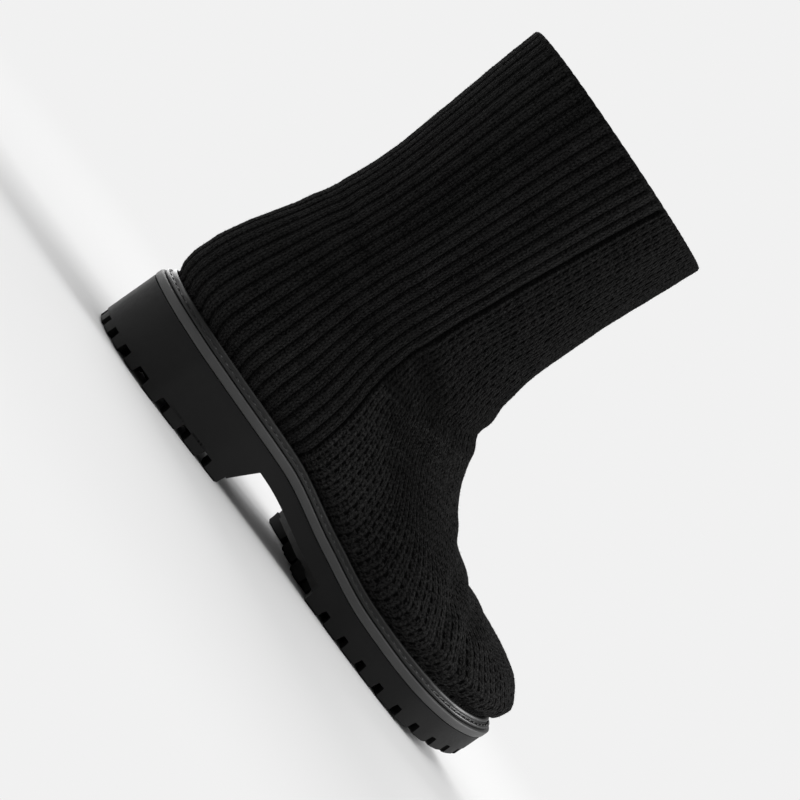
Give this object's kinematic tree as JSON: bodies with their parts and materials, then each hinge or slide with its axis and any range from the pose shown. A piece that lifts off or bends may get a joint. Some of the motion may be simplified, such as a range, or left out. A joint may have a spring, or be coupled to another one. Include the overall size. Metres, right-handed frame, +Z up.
{
  "type": "wool ankle boot",
  "caption": "Knitted wool ankle boot for the left foot, one hollow sock upper on a moulded lug sole with a heel block, arch insert, grey band and raised welt.",
  "frame": {"origin": "on the floor under the middle of the boot", "axes": "+X to the toe, +Y to the outer side of the foot, +Z up"},
  "size_m": [0.262, 0.0936, 0.2183],
  "materials": {
    "black_rubber": "matte moulded black rubber with a fine grain",
    "insert_rubber": "smooth mid-grey rubber, finely blasted",
    "grey_rubber": "satin dark grey rubber",
    "welt_rubber": "black rubber, glossy on the bead",
    "insole_fabric": "black felted fabric",
    "wool_knit": "black wool knit with ribs and moss stitch"
  },
  "bodies": {
    "root": {"outsole": "black_rubber", "arch_insert": "insert_rubber", "midsole_band": "grey_rubber", "storm_welt": "welt_rubber", "insole": "insole_fabric", "upper": "wool_knit"}
  },
  "joints": []
}
